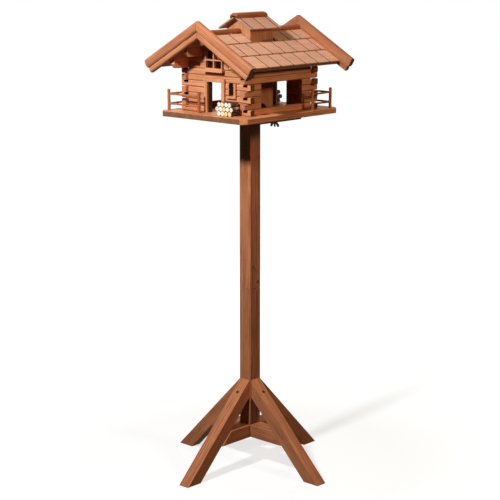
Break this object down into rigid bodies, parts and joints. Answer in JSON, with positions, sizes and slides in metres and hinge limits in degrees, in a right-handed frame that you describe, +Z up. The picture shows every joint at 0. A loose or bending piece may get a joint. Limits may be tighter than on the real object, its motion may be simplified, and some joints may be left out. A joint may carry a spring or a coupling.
{
  "type": "bird feeder house on a post stand",
  "caption": "Free-standing log-cabin bird feeder with a shingled gable roof, a central feed silo and railings, on a square post with four sloping legs.",
  "frame": {"origin": "on the ground, in the middle of the four feet", "axes": "+Z up along the post, ridge of the roof along Y, front gable towards -Y, wide side openings towards +X and -X"},
  "size_m": [0.592, 0.592, 1.406],
  "materials": {
    "stand_wood": "stained brown, satin",
    "house_wood": "stained honey brown, satin",
    "trim_wood": "stained honey brown, satin",
    "shingle_wood": "pale stained, matte",
    "verge_wood": "stained brown, satin",
    "firewood": "rough bark with pale cut ends"
  },
  "bodies": {
    "root": {"leg_front": "stand_wood", "leg_right": "stand_wood", "leg_back": "stand_wood", "leg_left": "stand_wood", "cross_beam_upper": "stand_wood", "cross_beam_lower": "stand_wood", "lower_post": "stand_wood", "upper_post": "stand_wood", "mounting_board": "stand_wood", "base_board": "house_wood", "front_wall_through_logs": "house_wood", "front_wall_fitted_logs": "house_wood", "back_wall_through_logs": "house_wood", "back_wall_fitted_logs": "house_wood", "right_wall_through_logs": "house_wood", "right_wall_fitted_logs": "house_wood", "left_wall_through_logs": "house_wood", "left_wall_fitted_logs": "house_wood", "front_door_frame": "trim_wood", "back_door_frame": "trim_wood", "front_small_window": "trim_wood", "back_small_window": "trim_wood", "front_gable_window": "trim_wood", "back_gable_window": "trim_wood", "purlins": "house_wood", "roof_board_right": "house_wood", "roof_board_left": "house_wood", "shingles_top": "shingle_wood", "shingles_middle": "shingle_wood", "shingles_eave": "shingle_wood", "verge_upper_right": "verge_wood", "verge_upper_left": "verge_wood", "verge_lower_right": "verge_wood", "verge_lower_left": "verge_wood", "ridge_caps": "verge_wood", "silo_end_panels": "house_wood", "silo_side_panels": "house_wood", "silo_roof_right": "shingle_wood", "silo_roof_left": "shingle_wood", "silo_ridge_bar": "verge_wood", "railing_front_and_back": "trim_wood", "railing_sides": "trim_wood", "firewood_front": "firewood", "firewood_back": "firewood"}
  },
  "joints": []
}
